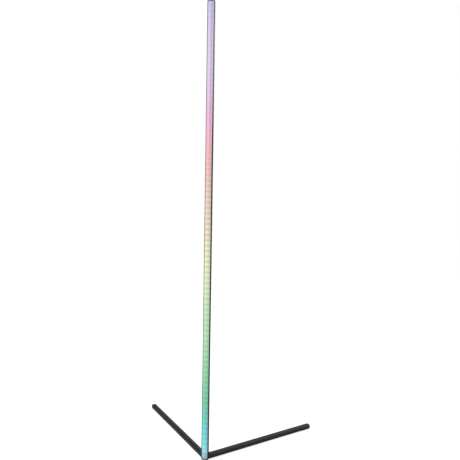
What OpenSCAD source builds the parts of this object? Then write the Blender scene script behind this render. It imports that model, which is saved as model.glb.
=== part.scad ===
// Corner floor lamp: a slim lit pole that stands in the point of a low V-shaped base.
// The origin is on the floor under the pole's axis and +Z is up. The lit face looks along -Y,
// into the corner of a room, and the two legs run back along its walls at 45 degrees to +Y.
// All sizes are in millimetres.

/* [Pole] */
// Height of the whole lamp, from the floor to the top of the cap
lamp_h = 1420; // [1000:10:1800]
// Width of the pole across its lit face
pole_w = 21.5; // [18:0.5:24]
// Depth of the pole from front to back
pole_d = 12; // [11.5:0.5:18]
// Thickness of the pole's side walls
side_wall = 1.5; // [0.9:0.1:1.6]
// Thickness of the pole's back wall
back_wall = 1.3; // [1:0.1:1.8]
// Thickness of the shelf inside the pole that carries the light strip
shelf_t = 1.2; // [0.8:0.1:1.6]
// Depth of the wiring chamber behind the shelf
chamber_d = 4.6; // [4.4:0.1:5.4]
// Radius of the pole's two rear corners
corner_r = 1; // [0.5:0.1:1.5]
// Bore of the two screw ports that run the length of the pole
port_d = 2; // [1.6:0.1:2.2]
// Wall of metal around each screw port
port_wall = 0.75; // [0.6:0.05:0.9]

/* [Diffuser] */
// Thickness of the opal face
diffuser_t = 1.3; // [1:0.1:2]
// Thickness of the two skirts that hold the diffuser in the pole
skirt_t = 0.9; // [0.7:0.1:1.2]
// Depth of the skirts, from the lit face
skirt_d = 3.6; // [3.4:0.1:4]
// Height of the bead on each skirt that snaps into the pole's groove
bead_h = 0.3; // [0.2:0.05:0.4]

/* [Light strip] */
// Light packages on each metre of strip
leds_per_m = 60; // [30:6:96]
// Width of the flexible strip
strip_w = 12; // [10:0.5:13]
// Thickness of the flexible strip
strip_t = 0.4; // [0.3:0.05:0.6]
// Thickness of the tape that holds the strip on the shelf
tape_t = 0.2; // [0.15:0.05:0.4]
// Side of one square light package
led_w = 5; // [3.5:0.1:5.5]
// Height of one light package off the strip
led_h = 1.6; // [1:0.1:2]
// Height of the strip's lower end above the base plate
strip_lift = 17; // [10:1:24]

/* [Caps] */
// Thickness of the top cap over the end of the pole
cap_t = 3; // [2:0.5:5]
// Depth of the top cap's plug inside the pole
cap_plug = 8; // [5:1:14]
// Width of the bevel round the caps' and plugs' outer edges
bevel = 0.3; // [0.3:0.1:0.9]

/* [Legs] */
// Length of a leg's outer face, from the point of the V to its far end
leg_len = 435; // [300:5:600]
// Width of a leg seen from above
leg_w = 15; // [14:0.5:20]
// Height of a leg
leg_h = 14; // [13.5:0.5:18]
// Wall thickness of the leg tubes
leg_wall = 1.5; // [1:0.1:1.8]
// Radius of the leg tubes' long edges
leg_edge_r = 0.8; // [0.4:0.1:1]
// Distance of the point of the V in front of the pole's axis
apex_ahead = 9; // [8:0.5:11]
// Thickness of the end plug's visible flange
plug_t = 2.5; // [2:0.5:4]
// Depth of the end plug inside the leg
plug_in = 12; // [8:1:20]
// Wall thickness of the hollow end plug
plug_wall = 1.6; // [1.2:0.1:2.2]

/* [Corner base] */
// Thickness of the base plate under the pole
foot_t = 3; // [2.5:0.5:4]
// Height of the tongue that stands inside the pole
tongue_h = 60; // [56:1:90]
// Length of the spigot inside each leg
spigot_len = 50; // [46:1:90]
// Width of the rear nose that holds the inlet
nose_w = 12; // [11.5:0.5:14]
// Distance of the nose's rear face from the pole's axis
nose_back = 24; // [23:0.5:30]
// Depth of the wire grooves in the tongue
groove_d = 1.6; // [1.3:0.1:1.9]

/* [Pads] */
// Thickness of the pads under the base
pad_t = 1.2; // [0.8:0.1:2]
// Length of the pad under each leg's far end
pad_len = 30; // [15:1:60]
// Distance of a pad's long sides inside the edges of what it carries
pad_inset = 1.5; // [1:0.1:3]

/* [Screws] */
// Thread diameter of the base screws
screw_d = 3; // [2.5:0.5:3]
// Head diameter of the base screws
head_d = 5.6; // [5:0.1:6]
// Head height of the pole screws
head_h = 1.6; // [1:0.1:2]
// Length of the screws that hold the pole
pole_screw_len = 5; // [4:0.5:5.5]
// Length of the screws that hold the legs
leg_screw_len = 8; // [6:0.5:10]
// Distance between the two screws of each joint
screw_pitch = 22; // [16:1:24]
// Height of the lower pole screw above the base plate
pole_screw_lift = 22; // [18:1:26]
// Length of the top cap's screws
cap_screw_len = 9; // [6:0.5:14]
// Head diameter of the top cap's screws
cap_head_d = 2.8; // [2.6:0.1:3]

/* [Inlet] */
// Diameter of the plug's sleeve that the inlet takes
plug_sleeve_d = 5.5; // [5.5:0.1:5.7]
// Depth of the inlet's bore
inlet_depth = 9.5; // [8:0.5:10]
// Diameter of the inlet's barrel
inlet_d = 8; // [7.6:0.1:8.4]
// Length of the inlet's barrel inside the nose
inlet_len = 11.5; // [10.5:0.5:12]
// Diameter of the inlet's flange
inlet_flange_d = 10.4; // [9.6:0.1:11]
// Thickness of the inlet's flange
inlet_flange_t = 1.2; // [0.8:0.1:2]
// Diameter of the inlet's centre pin
centre_pin_d = 2; // [1.6:0.1:2.1]

/* [Controller] */
// Width of the controller board
board_w = 10; // [9:0.5:10.5]
// Length of the controller board
board_len = 56; // [50:1:90]
// Thickness of the controller board
board_t = 0.8; // [0.6:0.1:1]
// Thickness of the foam tape behind the board
foam_t = 0.5; // [0.3:0.1:0.6]
// Gap between the top of the tongue and the board
board_gap = 8; // [6:1:20]
// Height of the push switch's body off the board
switch_h = 1.5; // [1.3:0.1:1.6]
// Side of the push switch's square body
switch_w = 5; // [4:0.1:6]
// Diameter of the switch's plunger
plunger_d = 2; // [1.5:0.1:2.6]
// Diameter of the button where it comes through the pole
button_d = 6; // [5:0.1:6.4]
// Diameter of the button's flange inside the pole
button_flange_d = 8; // [7.4:0.1:8.4]
// Height of the button beyond the pole's back
button_proud = 1.4; // [1:0.1:3]
// Travel of the button
button_travel = 0.6; // [0.3:0.05:0.6]

/* [Wires] */
// Diameter of an insulated wire
wire_d = 1.1; // [0.8:0.05:1.2]
// Radius of the wires' bends
wire_bend = 2; // [1.2:0.1:2.4]

/* [Clearances] */
// Gap between pieces that slot together
fit_gap = 0.1; // [0.05:0.05:0.15]
// Gap around the sliding button and plunger
slide_gap = 0.15; // [0.1:0.05:0.2]
// Gap around a screw's thread in its tapped hole
thread_gap = 0.02; // [0.01:0.01:0.05]

/* [Hidden] */
$fn = 48;

cut = 1;                                        // overrun of every cutting tool
half_w = pole_w / 2;
front_y = -pole_d / 2;
back_y = pole_d / 2;

// Heights
base_z = pad_t;                                 // underside of the legs and of the base plate
foot_top = base_z + foot_t;                     // the pole stands here
channel_top = lamp_h - cap_t;
channel_h = channel_top - foot_top;

// Layers of the pole from back to front
chamber_back_y = back_y - back_wall;
shelf_back_y = chamber_back_y - chamber_d;
shelf_front_y = shelf_back_y - shelf_t;
strip_back_y = shelf_front_y - tape_t;
strip_front_y = strip_back_y - strip_t;
inner_w = pole_w - 2 * side_wall;

// Screw ports in the rear corners of the wiring chamber
port_r = port_d / 2;
port_outer_r = port_r + port_wall;
port_edge = 0.45;                               // metal between a port's wall and the pole's faces
port_inset = port_outer_r + port_edge;
port_x = half_w - port_inset;
port_y = back_y - port_inset;
port_gap_w = 2 * (port_x - port_outer_r);       // clear width between the two ports

// Diffuser and the groove that holds it
bead_w = 0.8;
bead_from_end = 0.9;                            // from the skirt's end to the middle of its bead
groove_y = front_y + skirt_d - bead_from_end;
diffuser_w = inner_w - 2 * fit_gap;

// Light strip
led_pitch = 1000 / leds_per_m;
strip_z = foot_top + strip_lift;
led_count = floor((channel_top - strip_z) / led_pitch);
strip_len = led_count * led_pitch;
lens_d = 0.7 * led_w;                           // the round window in each light package
lens_depth = 0.3;

// V-shaped base
leg_mid_z = base_z + leg_h / 2;
mitre_x = half_w + fit_gap;                     // the legs are cut off along the pole's sides
leg_root = mitre_x * sqrt(2) + leg_w;           // from here on a leg has its full section
block_y = back_y + fit_gap;
inner_apex_y = leg_w * sqrt(2) - apex_ahead;
spigot_gap = leg_wall + fit_gap;
spigot_w = leg_w - 2 * spigot_gap;
spigot_h = leg_h - 2 * spigot_gap;
spigot_end = leg_root + spigot_len;

// Tongue inside the pole
tongue_w = port_gap_w - 2 * fit_gap;
tongue_front_y = shelf_back_y + fit_gap;
tongue_back_y = chamber_back_y - fit_gap;
tongue_t = tongue_back_y - tongue_front_y;
tongue_top = foot_top + tongue_h;
way_h = 8;                                      // height of the notches in the pole
way_top = foot_top + way_h;

// Screws
shank_r = screw_d / 2;
tap_r = shank_r + thread_gap;
clear_gap = 0.15;
clear_r = shank_r + clear_gap;
head_r = head_d / 2;
sink_h = head_r - shank_r;
way_web = 0.25;                                 // metal between a tapped hole and a wire groove
way_in = tap_r + way_web;
wire_way = tongue_w / 2 - way_in;
pole_screw_zs = [for (i = [0, 1]) foot_top + pole_screw_lift + i * screw_pitch];
leg_screw_in = 14;                              // first screw, from where the leg is whole
leg_screw_xs = [for (i = [0, 1]) leg_root + leg_screw_in + i * screw_pitch];
cap_thread_r = port_r - thread_gap;
cap_head_r = cap_head_d / 2;
cap_sink_h = cap_head_r - cap_thread_r;
head_below = 0.1;                               // the cap screws' heads lie just below the cap's face
cap_head_z = lamp_h - head_below;
base_recess = [1.6, 0.7, 0.9];                  // cross recess of a base screw: arm, width, depth
cap_recess = [0.9, 0.4, 0.6];

// Pads
corner_pad_w = pole_w - 2 * pad_inset;
corner_pad_front = front_y + pad_inset;
corner_pad_back = inner_apex_y + nose_w / 2 - pad_inset;
leg_pad_end = leg_len - plug_t - plug_in / 2;
pad_r = 2;

// Inlet
sleeve_gap = 0.25;                              // gap round the plug's sleeve
inlet_bore_r = plug_sleeve_d / 2 + sleeve_gap;
inlet_r = inlet_d / 2;
inlet_z = foot_top + inlet_r + 2 * fit_gap;
inlet_front_y = nose_back - inlet_len;
contact_tail = 1.6;
window_d = inlet_front_y - contact_tail - block_y;      // depth of the wires' window in the block
tab_w = 1.6;
tab_t = 0.5;
tab_len = 6;
tab_z = (inlet_bore_r + inlet_r) / 2;           // in the middle of the barrel's wall

// Controller, stacked on the back of the shelf
board_z = tongue_top + board_gap;
foam_y = shelf_back_y;
board_y = foam_y + foam_t;
board_back_y = board_y + board_t;
switch_top_y = board_back_y + switch_h;
switch_z = board_z + board_len / 2;
button_stop_gap = 0.05;                         // between the flange and the inside of the back wall
press_gap = 0.1;                                // left between button and switch at full travel
flange_back_y = chamber_back_y - button_stop_gap;
flange_front_y = switch_top_y + button_travel + press_gap;
switch_floor = 0.3;                             // bottom of the plunger's well in the switch
solder_z = board_z + 2;                         // the wires end on the board here

// Wires
wire_r = wire_d / 2;
wire_gap = 0.05;                                // between a wire and the face that it lies on
wire_pitch = (wire_way - wire_d - wire_gap) / 2;
wire_sides = 8;
bend_steps = 4;
strip_wire_xs = [for (i = [0:2]) -way_in - wire_way / 2 + (i - 1) * wire_pitch];
supply_wire_xs = [for (i = [-1, 1]) way_in + wire_way / 2 + i * 2 / 3 * wire_pitch];
wire_cross_lift = 2.6;                          // height of the wires where they pass through a notch
wire_cross_z = foot_top + wire_cross_lift + wire_r;
board_wire_y = board_back_y + wire_r + wire_gap;

// ---------- helpers ----------

// Rectangle with round corners, centred
module round_rect(w, d, r) {
    square([w - 2 * r, d], center = true);
    square([w, d - 2 * r], center = true);
    for (x = [-1, 1], y = [-1, 1])
        translate([x * (w / 2 - r), y * (d / 2 - r)]) circle(r);
}

// Outline of the pole: square at the lit front, round at the two rear corners
module pole_outline(w, d, r) {
    translate([-w / 2, -d / 2]) square([w, d - r]);
    translate([-w / 2 + r, -d / 2]) square([w - 2 * r, d]);
    for (x = [-1, 1]) translate([x * (w / 2 - r), d / 2 - r]) circle(r);
}

// Side view of a plate whose upper edges are bevelled
module bevelled(w, h, b) {
    polygon([[-w / 2, 0], [w / 2, 0], [w / 2, h - b], [w / 2 - b, h], [b - w / 2, h], [-w / 2, h - b]]);
}

// Plate w by d by h that stands on z = 0, with its upper edges bevelled
module bevel_block(w, d, h, b) {
    intersection() {
        rotate([90, 0, 0]) linear_extrude(d + 2 * cut, center = true) bevelled(w, h, b);
        rotate([90, 0, 90]) linear_extrude(w + 2 * cut, center = true) bevelled(d, h, b);
    }
}

// Places children, drawn along +X from the point of the V, on the right or the left leg
module on_leg(side) {
    mirror([side < 0 ? 1 : 0, 0, 0])
        translate([0, -apex_ahead, 0])
            rotate(45) children();
}

// Draws children, made on the floor round the Z axis, along the +Y direction from (x, y, z)
module along_y(x, y, z) {
    translate([x, y, z]) rotate([-90, 0, 0]) children();
}

// Countersunk screw that points up, with its head's flat face at z = 0
module sunk_screw(length, shank, head, sink) {
    cylinder(h = sink, r1 = head, r2 = shank);
    cylinder(h = length, r = shank);
}

// Hole for a countersunk screw, wider than the screw by a gap all round
module sunk_hole(length, shank, head, sink, gap) {
    translate([0, 0, -cut]) cylinder(h = cut, r = head + gap);
    cylinder(h = sink, r1 = head + gap, r2 = shank + gap);
    cylinder(h = length, r = shank + gap);
}

// Cross recess in the flat face of a screw head at z = 0; size is [arm, width, depth]
module cross_recess(size) {
    for (a = [0, 90]) rotate(a)
        translate([-size[0], -size[1] / 2, -cut]) cube([2 * size[0], size[1], size[2] + cut]);
}

function unit(v) = v / norm(v);

// Path with each inner corner replaced by a short curve
function bend_path(path) = [
    path[0],
    for (i = [1:len(path) - 2])
        let (p = path[i], to_a = path[i - 1] - p, to_b = path[i + 1] - p,
             a = p + unit(to_a) * min(wire_bend, norm(to_a) / 2.1),
             b = p + unit(to_b) * min(wire_bend, norm(to_b) / 2.1))
            for (s = [0:bend_steps])
                let (t = s / bend_steps) a * (1 - t) * (1 - t) + 2 * p * t * (1 - t) + b * t * t,
    path[len(path) - 1]
];

// Corner points of the wire's section at one point of its path
function wire_ring(path, i) =
    let (ahead = path[min(i + 1, len(path) - 1)], behind = path[max(i - 1, 0)],
         t = unit(ahead - behind), n = unit(cross(t, [1, 0, 0])), b = cross(n, t))
    [for (k = [0:wire_sides - 1])
        let (a = 360 * (k + 0.5) / wire_sides) path[i] + wire_r * (cos(a) * b + sin(a) * n)];

// Round wire along a path that never runs along X
module wire(corners) {
    path = bend_path(corners);
    rings = len(path);
    points = [for (i = [0:rings - 1]) each wire_ring(path, i)];
    sides = [
        for (i = [0:rings - 2], k = [0:wire_sides - 1])
            let (a = i * wire_sides, b = a + wire_sides, next = (k + 1) % wire_sides)
                [a + k, a + next, b + next, b + k]
    ];
    first = [for (k = [wire_sides - 1:-1:0]) k];
    last = [for (k = [0:wire_sides - 1]) (rings - 1) * wire_sides + k];
    polyhedron(points, concat([first], sides, [last]), convexity = 4);
}

// ---------- pole ----------

// Section of the extruded pole
module channel_section() {
    light_d = shelf_front_y - front_y;
    difference() {
        pole_outline(pole_w, pole_d, corner_r);
        // light chamber, open to the front
        translate([-inner_w / 2, front_y - cut]) square([inner_w, light_d + cut]);
        // grooves for the diffuser's beads
        translate([0, groove_y])
            square([inner_w + 2 * (bead_h + fit_gap), bead_w + 2 * fit_gap], center = true);
        // wiring chamber, with a screw port in each rear corner
        difference() {
            translate([-inner_w / 2, shelf_back_y]) square([inner_w, chamber_d]);
            for (x = [-1, 1]) translate([x * port_x, port_y]) {
                circle(port_outer_r);
                translate([x > 0 ? 0 : -port_inset, -port_r]) square([port_inset, port_inset + port_r]);
                translate([x > 0 ? -port_r : -port_inset, 0]) square([port_inset + port_r, port_inset]);
            }
        }
        for (x = [-1, 1]) translate([x * port_x, port_y]) circle(port_r);
    }
}

module pole_channel() {
    color([0.1, 0.1, 0.11])
    difference() {
        translate([0, 0, foot_top]) linear_extrude(channel_h) channel_section();
        // notch in the shelf for the strip's wires
        translate([-way_in - wire_way, shelf_front_y - cut, foot_top - cut])
            cube([wire_way, shelf_t + 2 * cut, way_top - foot_top + cut]);
        // notch in the back wall for the supply wires
        translate([way_in, chamber_back_y - cut, foot_top - cut])
            cube([wire_way, back_wall + 2 * cut, way_top - foot_top + cut]);
        // holes for the screws and the button
        for (z = pole_screw_zs)
            along_y(0, chamber_back_y - cut, z) cylinder(h = back_wall + 2 * cut, r = clear_r);
        along_y(0, chamber_back_y - cut, switch_z)
            cylinder(h = back_wall + 2 * cut, r = button_d / 2 + slide_gap);
    }
}

// Opal cover with two skirts and a snap bead on each
module diffuser() {
    color([0.86, 0.9, 0.84])
    translate([0, 0, foot_top]) linear_extrude(channel_h) {
        translate([-diffuser_w / 2, front_y]) square([diffuser_w, diffuser_t]);
        for (x = [-1, 1]) {
            translate([x * (diffuser_w - skirt_t) / 2, front_y + skirt_d / 2])
                square([skirt_t, skirt_d], center = true);
            translate([x * diffuser_w / 2, groove_y])
                square([2 * bead_h, bead_w], center = true);
        }
    }
}

module strip_tape() {
    color([0.85, 0.8, 0.7])
    translate([-strip_w / 2, strip_back_y, strip_z]) cube([strip_w, tape_t, strip_len]);
}

module led_strip() {
    color([0.93, 0.93, 0.9])
    translate([-strip_w / 2, strip_front_y, strip_z]) cube([strip_w, strip_t, strip_len]);
}

// One square light package with a round recessed window, facing -Y
module led_package() {
    difference() {
        translate([-led_w / 2, -led_h, -led_w / 2]) cube([led_w, led_h, led_w]);
        along_y(0, -led_h - cut, 0) cylinder(h = lens_depth + cut, d = lens_d, $fn = 24);
    }
}

module led_packages() {
    color([0.97, 0.95, 0.8])
    for (i = [0:led_count - 1])
        translate([0, strip_front_y, strip_z + (i + 0.5) * led_pitch]) led_package();
}

// Cap with a plug that fits the wiring chamber
module top_cap() {
    plug_w = port_gap_w - 2 * fit_gap;
    plug_d = chamber_d - 2 * fit_gap;
    color([0.07, 0.07, 0.08])
    difference() {
        union() {
            translate([0, 0, channel_top]) intersection() {
                linear_extrude(cap_t) pole_outline(pole_w, pole_d, corner_r);
                bevel_block(pole_w, pole_d, cap_t, bevel);
            }
            translate([-plug_w / 2, shelf_back_y + fit_gap, channel_top - cap_plug])
                cube([plug_w, plug_d, cap_plug + cut]);
        }
        for (x = [-1, 1]) translate([x * port_x, port_y, cap_head_z]) mirror([0, 0, 1])
            sunk_hole(cap_t + cut, cap_thread_r, cap_head_r, cap_sink_h, fit_gap / 2);
    }
}

module top_cap_screws() {
    color([0.2, 0.2, 0.21])
    for (x = [-1, 1]) translate([x * port_x, port_y, cap_head_z]) mirror([0, 0, 1])
        difference() {
            sunk_screw(cap_screw_len, cap_thread_r, cap_head_r, cap_sink_h);
            cross_recess(cap_recess);
        }
}

// ---------- base ----------

// Outline of the block behind the pole, seen from above
module block_outline() {
    polygon([
        [-half_w, block_y], [half_w, block_y],
        [half_w, inner_apex_y + half_w], [nose_w / 2, inner_apex_y + nose_w / 2],
        [nose_w / 2, nose_back], [-nose_w / 2, nose_back],
        [-nose_w / 2, inner_apex_y + nose_w / 2], [-half_w, inner_apex_y + half_w]
    ]);
}

// Solid bar that fills the root of one leg's tube
module spigot(side) {
    start = leg_w - spigot_gap;
    on_leg(side) difference() {
        translate([start, spigot_gap, base_z + spigot_gap]) cube([spigot_end - start, spigot_w, spigot_h]);
        for (x = leg_screw_xs) translate([x, leg_w / 2, base_z]) {
            cylinder(h = leg_screw_len + 2, r = tap_r);
            cylinder(h = sink_h, r1 = head_r + fit_gap, r2 = clear_r);
        }
    }
}

// Upright tongue with a wire groove on its front and one on its back
module tongue() {
    difference() {
        translate([-tongue_w / 2, tongue_front_y, foot_top - cut]) cube([tongue_w, tongue_t, tongue_h + cut]);
        translate([-tongue_w / 2 - cut, tongue_front_y - cut, foot_top])
            cube([wire_way + cut, groove_d + cut, tongue_h + cut]);
        translate([way_in, tongue_back_y - groove_d, foot_top])
            cube([wire_way + cut, groove_d + cut, tongue_h + cut]);
        for (z = pole_screw_zs)
            along_y(0, tongue_front_y - cut, z) cylinder(h = tongue_t + 2 * cut, r = tap_r);
    }
}

// Die-cast corner: base plate, tongue, rear block with the inlet's pocket, and two spigots
module corner_base() {
    color([0.12, 0.12, 0.13])
    difference() {
        union() {
            translate([0, 0, base_z]) linear_extrude(foot_t) {
                pole_outline(pole_w, pole_d, corner_r);
                translate([-half_w, 0]) square([pole_w, block_y + cut]);
            }
            translate([0, 0, base_z]) linear_extrude(leg_h) block_outline();
            difference() {
                for (side = [-1, 1]) spigot(side);
                // room for the pole
                translate([-mitre_x, front_y - leg_w, foot_top])
                    cube([2 * mitre_x, block_y - front_y + leg_w, leg_h]);
            }
            tongue();
        }
        // bore for the inlet, and the window that lets its wires into the pole
        along_y(0, block_y - cut, inlet_z)
            cylinder(h = nose_back - block_y + 2 * cut, r = inlet_r + fit_gap);
        translate([way_in, block_y - cut, foot_top])
            cube([wire_way, window_d + cut, way_top - foot_top]);
    }
}

// Square tube with round long edges, cut off along the pole's side
module leg_tube(side) {
    inner_r = 3 * fit_gap;      // small enough to clear the square edges of the spigot
    color([0.14, 0.14, 0.145])
    difference() {
        on_leg(side)
            translate([leg_w / 2, leg_w / 2, leg_mid_z]) rotate([90, 0, 90])
                linear_extrude(leg_len - plug_t - leg_w / 2) difference() {
                    round_rect(leg_w, leg_h, leg_edge_r);
                    round_rect(leg_w - 2 * leg_wall, leg_h - 2 * leg_wall, inner_r);
                }
        translate([-mitre_x, -leg_len, base_z - cut]) cube([2 * mitre_x, 2 * leg_len, leg_h + 2 * cut]);
        on_leg(side) for (x = leg_screw_xs) translate([x, leg_w / 2, base_z])
            sunk_hole(leg_wall + cut, shank_r, head_r, sink_h, fit_gap);
    }
}

module left_leg() {
    leg_tube(-1);
}

module right_leg() {
    leg_tube(1);
}

// Hollow plug with a bevelled flange over the end of a leg
module end_plug(side) {
    in_w = leg_w - 2 * spigot_gap;
    in_h = leg_h - 2 * spigot_gap;
    color([0.05, 0.05, 0.055])
    on_leg(side) translate([leg_len - plug_t, leg_w / 2, leg_mid_z]) rotate([90, 0, 90]) {
        intersection() {
            linear_extrude(plug_t) round_rect(leg_w, leg_h, leg_edge_r);
            bevel_block(leg_w, leg_h, plug_t, bevel);
        }
        mirror([0, 0, 1]) linear_extrude(plug_in) difference() {
            square([in_w, in_h], center = true);
            square([in_w - 2 * plug_wall, in_h - 2 * plug_wall], center = true);
        }
    }
}

module left_end_plug() {
    end_plug(-1);
}

module right_end_plug() {
    end_plug(1);
}

// Two countersunk screws up into each spigot
module leg_screws() {
    color([0.2, 0.2, 0.21])
    for (side = [-1, 1]) on_leg(side) for (x = leg_screw_xs)
        translate([x, leg_w / 2, base_z]) difference() {
            sunk_screw(leg_screw_len, shank_r, head_r, sink_h);
            cross_recess(base_recess);
        }
}

// Two pan-head screws from the back of the pole into the tongue
module pole_screws() {
    color([0.2, 0.2, 0.21])
    for (z = pole_screw_zs) translate([0, back_y, z]) rotate([90, 0, 0]) difference() {
        union() {
            cylinder(h = pole_screw_len, r = shank_r);
            mirror([0, 0, 1]) rotate_extrude() polygon([
                [0, 0], [head_r, 0], [head_r, 0.5 * head_h], [0.8 * head_r, 0.85 * head_h],
                [0.5 * head_r, head_h], [0, head_h]
            ]);
        }
        translate([0, 0, -head_h]) cross_recess(base_recess);
    }
}

// ---------- pads ----------

module pad(x, y, w, d) {
    color([0.03, 0.03, 0.03])
    translate([x, y]) linear_extrude(pad_t) round_rect(w, d, pad_r);
}

module corner_pad() {
    length = corner_pad_back - corner_pad_front;
    pad(0, corner_pad_front + length / 2, corner_pad_w, length);
}

module leg_pad(side) {
    on_leg(side) pad(leg_pad_end - pad_len / 2, leg_w / 2, pad_len, leg_w - 2 * pad_inset);
}

module left_pad() {
    leg_pad(-1);
}

module right_pad() {
    leg_pad(1);
}

// ---------- inlet ----------

// Round socket that looks along +Y out of the nose
module inlet_socket() {
    color([0.04, 0.04, 0.04])
    difference() {
        along_y(0, inlet_front_y, inlet_z) difference() {
            union() {
                cylinder(h = inlet_len, r = inlet_r);
                translate([0, 0, inlet_len]) cylinder(h = inlet_flange_t, d = inlet_flange_d);
            }
            translate([0, 0, inlet_len + inlet_flange_t - inlet_depth])
                cylinder(h = inlet_depth + cut, r = inlet_bore_r);
            // seat of the centre pin
            translate([0, 0, -cut]) cylinder(h = inlet_len, d = centre_pin_d + thread_gap);
        }
        // seat of the sleeve's tab
        translate([-tab_w / 2 - thread_gap, inlet_front_y - cut, inlet_z + tab_z - tab_t / 2 - thread_gap])
            cube([tab_w + 2 * thread_gap, tab_len + cut + thread_gap, tab_t + 2 * thread_gap]);
    }
}

// Centre pin, and the flat tab beside the plug's sleeve
module inlet_contacts() {
    pin_in = 0.5;               // the pin ends inside the socket
    pin_end_y = nose_back - pin_in;
    color([0.85, 0.7, 0.35])
    {
        along_y(0, inlet_front_y - contact_tail, inlet_z)
            cylinder(h = pin_end_y - inlet_front_y + contact_tail, d = centre_pin_d);
        translate([-tab_w / 2, inlet_front_y - contact_tail, inlet_z + tab_z - tab_t / 2])
            cube([tab_w, contact_tail + tab_len, tab_t]);
    }
}

// From the inlet through the back of the pole, up the tongue's rear groove, to the board
module supply_wires() {
    groove_mid_y = tongue_back_y - groove_d / 2;
    start_y = inlet_front_y - contact_tail - wire_gap;
    straight = 0.7;             // each wire leaves its contact straight, and then turns down
    clear_of_pole = 0.5;
    start_zs = [inlet_z, inlet_z + min(tab_z, inlet_r - wire_r)];
    cross_zs = [wire_cross_z, wire_cross_z + wire_pitch];
    color([0.6, 0.05, 0.05])
    for (i = [0, 1])
        wire([
            [0, start_y, start_zs[i]],
            [0, start_y - straight, start_zs[i]],
            [supply_wire_xs[i], block_y + clear_of_pole, cross_zs[i]],
            [supply_wire_xs[i], groove_mid_y, cross_zs[i]],
            [supply_wire_xs[i], groove_mid_y, tongue_top + board_gap / 3],
            [supply_wire_xs[i], board_wire_y, board_z - 1],
            [supply_wire_xs[i], board_wire_y, solder_z]
        ]);
}

// ---------- controller ----------

module board_foam() {
    foam_in = 1;                // the foam ends this far inside the board's edges
    color([0.9, 0.9, 0.88])
    translate([foam_in - board_w / 2, foam_y, board_z + foam_in])
        cube([board_w - 2 * foam_in, foam_t, board_len - 2 * foam_in]);
}

module controller_board() {
    color([0.05, 0.3, 0.15])
    translate([-board_w / 2, board_y, board_z]) cube([board_w, board_t, board_len]);
}

// Box w by l by h that stands on the board's back, at a height above the board's lower end
module chip(x, z, w, l, h) {
    translate([x - w / 2, board_back_y, board_z + z - l / 2]) cube([w, h, l]);
}

// Processor, regulator, driver, coil and capacitors
module controller_chips() {
    color([0.08, 0.08, 0.08])
    {
        chip(0, 0.19 * board_len, 5, 6, 1.2);
        chip(0, 0.34 * board_len, 4, 3.6, 1);
        chip(-1.8, 0.7 * board_len, 3.2, 3.2, 1.8);
        chip(2.4, 0.7 * board_len, 2, 3.2, 1);
        for (x = [-2.5, 0, 2.5]) chip(x, 0.84 * board_len, 1.2, 2, 0.8);
    }
}

// From the board down the tongue's front groove, through the shelf, to the strip's lower end
module strip_wires() {
    groove_mid_y = tongue_front_y + groove_d / 2;
    strip_wire_y = strip_front_y - wire_r - wire_gap;
    solder_len = min(3, (led_pitch - led_w) / 2 - clear_gap);
    color([0.85, 0.85, 0.85])
    for (x = strip_wire_xs)
        wire([
            [x, board_wire_y, solder_z],
            [x, board_wire_y, board_z - 1],
            [x, groove_mid_y, tongue_top + board_gap / 3],
            [x, groove_mid_y, wire_cross_z],
            [x, strip_wire_y, wire_cross_z],
            [x, strip_wire_y, strip_z + solder_len]
        ]);
}

module switch_body() {
    color([0.15, 0.15, 0.16])
    difference() {
        translate([-switch_w / 2, board_back_y, switch_z - switch_w / 2])
            cube([switch_w, switch_h, switch_w]);
        along_y(0, board_back_y + switch_floor, switch_z)
            cylinder(h = switch_h, r = plunger_d / 2 + slide_gap);
    }
}

// Short pin between the button and the well in the switch
module switch_plunger() {
    rest_y = board_back_y + switch_floor + button_travel + press_gap;
    color([0.8, 0.75, 0.6])
    along_y(0, rest_y, switch_z) cylinder(h = flange_front_y - rest_y, d = plunger_d);
}

// Round button with a flange that stops it against the inside of the pole's back wall
module push_button() {
    stem_h = back_y + button_proud - flange_front_y;
    flange_t = flange_back_y - flange_front_y;
    button_r = button_d / 2;
    chamfer = 0.5;
    color([0.3, 0.3, 0.31])
    along_y(0, flange_front_y, switch_z) rotate_extrude() polygon([
        [0, 0], [button_flange_d / 2, 0], [button_flange_d / 2, flange_t], [button_r, flange_t],
        [button_r, stem_h - chamfer], [button_r - chamfer, stem_h], [0, stem_h]
    ]);
}

pole_channel();
diffuser();
led_strip();
led_packages();
strip_tape();
top_cap();
top_cap_screws();
corner_base();
left_leg();
right_leg();
left_end_plug();
right_end_plug();
leg_screws();
pole_screws();
corner_pad();
left_pad();
right_pad();
inlet_socket();
inlet_contacts();
supply_wires();
controller_board();
controller_chips();
board_foam();
strip_wires();
switch_body();
switch_plunger();
push_button();
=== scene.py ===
# %% [markdown]
# # A corner floor lamp, dressed cell by cell
# The lamp is a slim pole with an opal light bar in its front. It stands in the point of a low V of
# two black square tubes that run back along the walls of a room's corner. Its solids come packed
# from a CAD model in metres, with the floor at z = 0 and the lit face looking along -Y, and they
# never move here. Each cell gives one piece or one finish the look that it has on the real lamp.

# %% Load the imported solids
import math

import bmesh
import bpy
from mathutils import Matrix, Vector


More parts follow.
